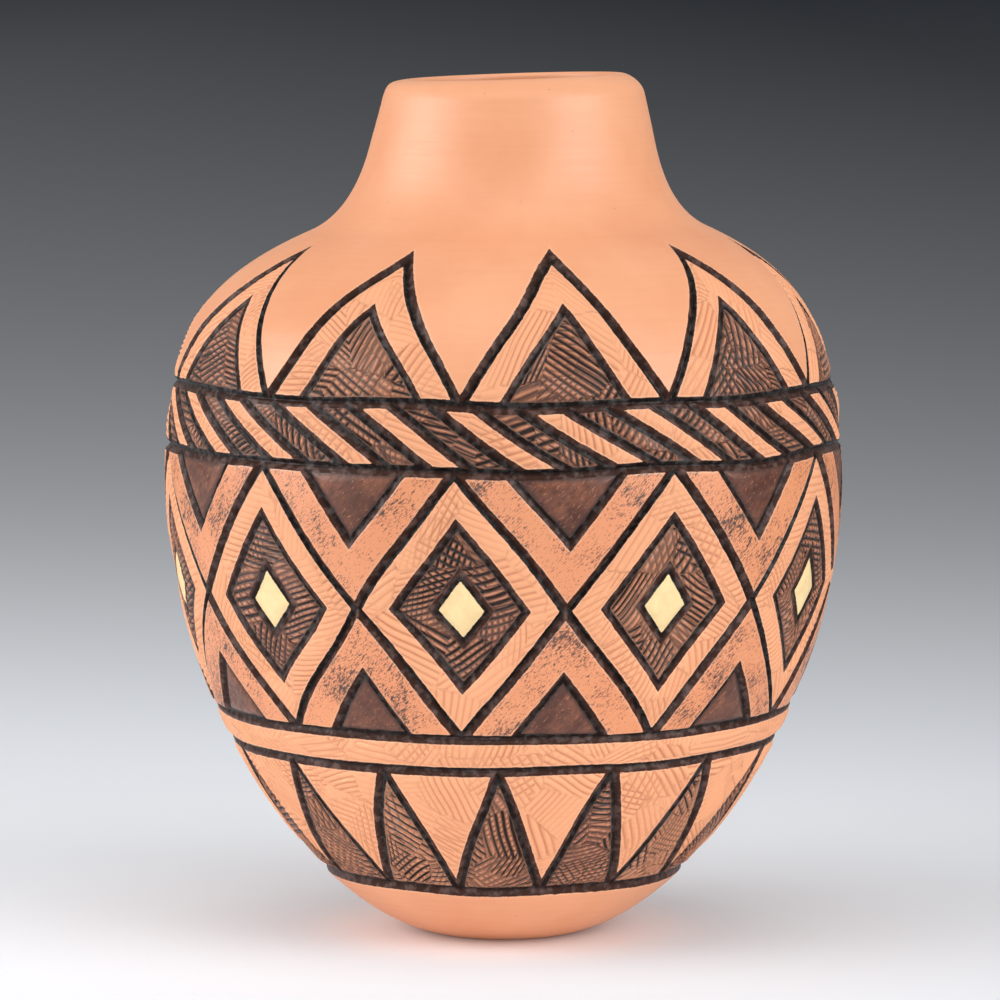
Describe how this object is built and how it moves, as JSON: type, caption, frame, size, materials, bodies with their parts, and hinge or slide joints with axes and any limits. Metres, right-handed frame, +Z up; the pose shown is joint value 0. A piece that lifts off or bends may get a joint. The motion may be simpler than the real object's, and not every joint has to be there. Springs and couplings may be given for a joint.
{
  "type": "pottery jar",
  "caption": "Round-bellied coil-built clay jar with a tapering neck, a rolled lip, a carved body in clay and brown, and a small flat foot; it stands free and holds things put in at the mouth.",
  "frame": {"origin": "centre of the flat foot, on the resting face", "axes": "+Z up along the jar's axis; -Y faces the viewer of the picture"},
  "size_m": [0.207, 0.207, 0.2609],
  "materials": {
    "polished_clay": "stone-polished buff-orange earthenware, low-fired, satin",
    "carved_clay": "carved and tooled buff-orange earthenware, recesses brushed with dark brown mineral paint"
  },
  "bodies": {
    "root": {"base_bowl": "polished_clay", "wall_coil_1": "carved_clay", "wall_coil_2": "carved_clay", "wall_coil_3": "carved_clay", "wall_coil_4": "carved_clay", "wall_coil_5": "carved_clay", "wall_coil_6": "carved_clay", "wall_coil_7": "carved_clay", "wall_coil_8": "carved_clay", "wall_coil_9": "carved_clay", "neck_coil_1": "polished_clay", "neck_coil_2": "polished_clay", "rim_coil": "polished_clay"}
  },
  "joints": []
}
